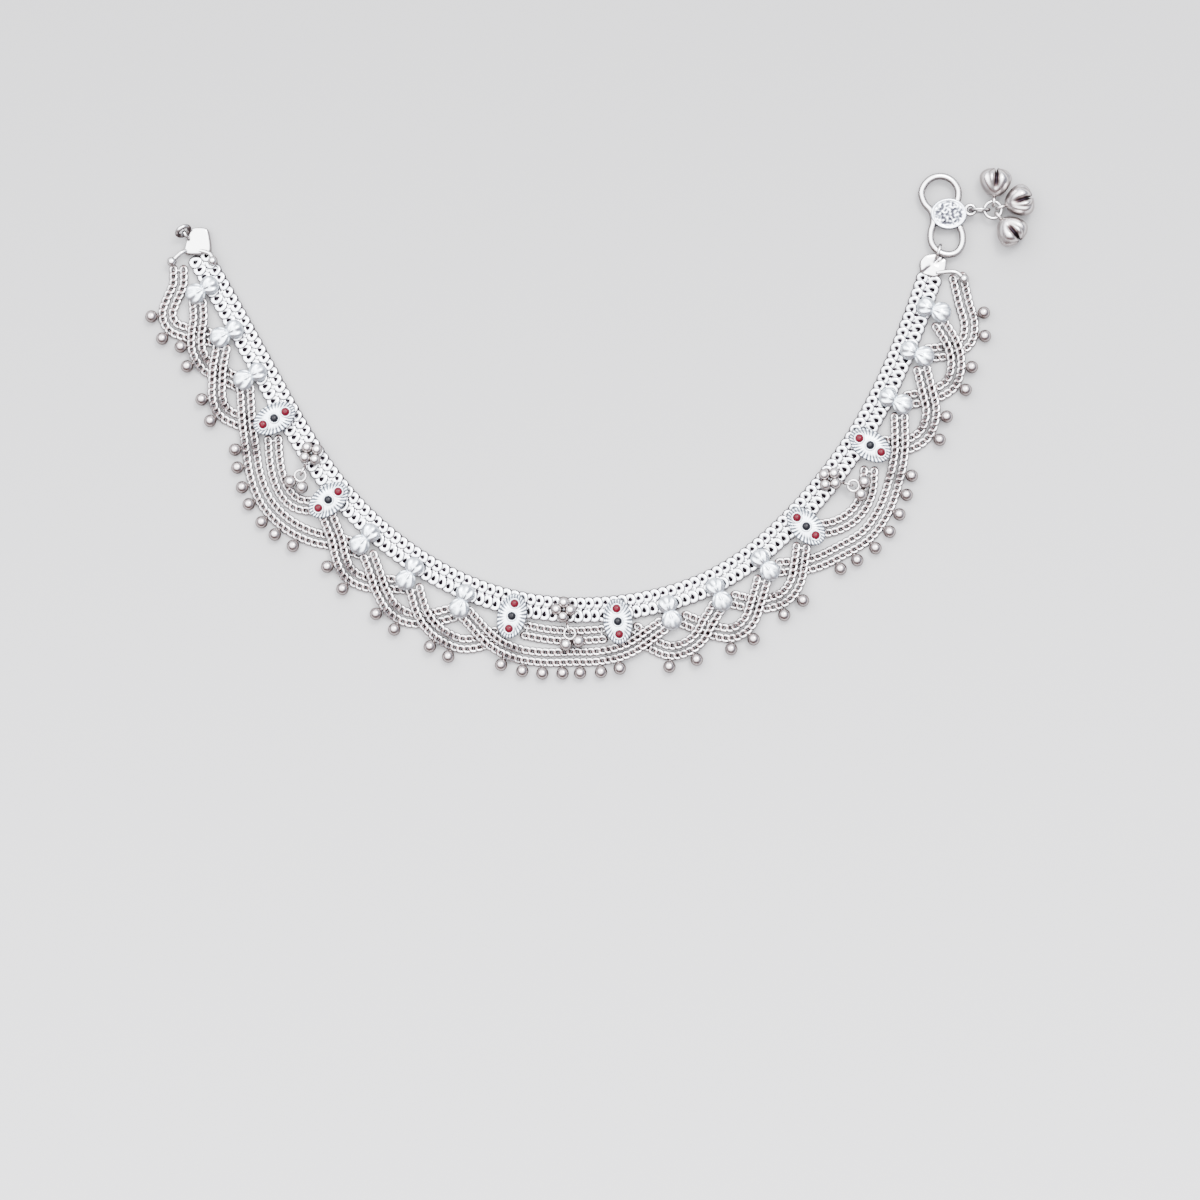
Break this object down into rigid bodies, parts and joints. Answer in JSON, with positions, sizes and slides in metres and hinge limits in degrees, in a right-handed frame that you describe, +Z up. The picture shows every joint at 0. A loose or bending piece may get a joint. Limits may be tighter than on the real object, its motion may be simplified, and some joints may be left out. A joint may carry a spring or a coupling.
{
  "type": "payal anklet",
  "caption": "Open payal anklet lying flat: woven silver band hung with paired chain swags, ball drops, leaves, stone-set oval plates, an S-hook and a bell cluster.",
  "frame": {"origin": "on the flat underside of the band, at the band's mid-length on its centre line", "axes": "+X along the band at mid-length, from the start ring's end towards the S-hook's end; +Y into the open arc, where the ankle goes; +Z up, out of the band's front"},
  "size_m": [0.1995, 0.1145, 0.0066],
  "materials": {
    "silver": "bright white silver, satin",
    "silver_polished": "polished silver"
  },
  "bodies": {
    "root": {"band": "silver", "swag_01": "silver", "swag_02": "silver", "swag_03": "silver", "swag_04": "silver", "swag_05": "silver", "swag_06": "silver", "swag_07": "silver", "swag_08": "silver", "swag_09": "silver", "swag_10": "silver", "swag_11": "silver", "swag_12": "silver", "swag_13": "silver", "swag_14": "silver", "swag_15": "silver", "swag_16": "silver", "swag_17": "silver", "swag_18": "silver", "leaf_01": "silver", "leaf_02": "silver", "leaf_03": "silver", "leaf_04": "silver", "leaf_05": "silver", "leaf_06": "silver", "leaf_07": "silver", "leaf_08": "silver", "leaf_09": "silver", "leaf_10": "silver", "leaf_11": "silver", "leaf_12": "silver", "oval_plate_1": "silver", "oval_plate_2": "silver", "oval_plate_3": "silver", "oval_plate_4": "silver", "oval_plate_5": "silver", "oval_plate_6": "silver", "flower_1": "silver", "flower_2": "silver", "flower_3": "silver", "flower_drop_1": "silver", "flower_drop_2": "silver", "flower_drop_3": "silver", "left_end_cap": "silver_polished", "right_end_cap": "silver_polished", "start_ring": "silver_polished", "s_hook": "silver_polished", "jump_ring": "silver_polished", "bell_ring": "silver_polished", "bell_1": "silver", "bell_2": "silver", "bell_3": "silver"}
  },
  "joints": []
}
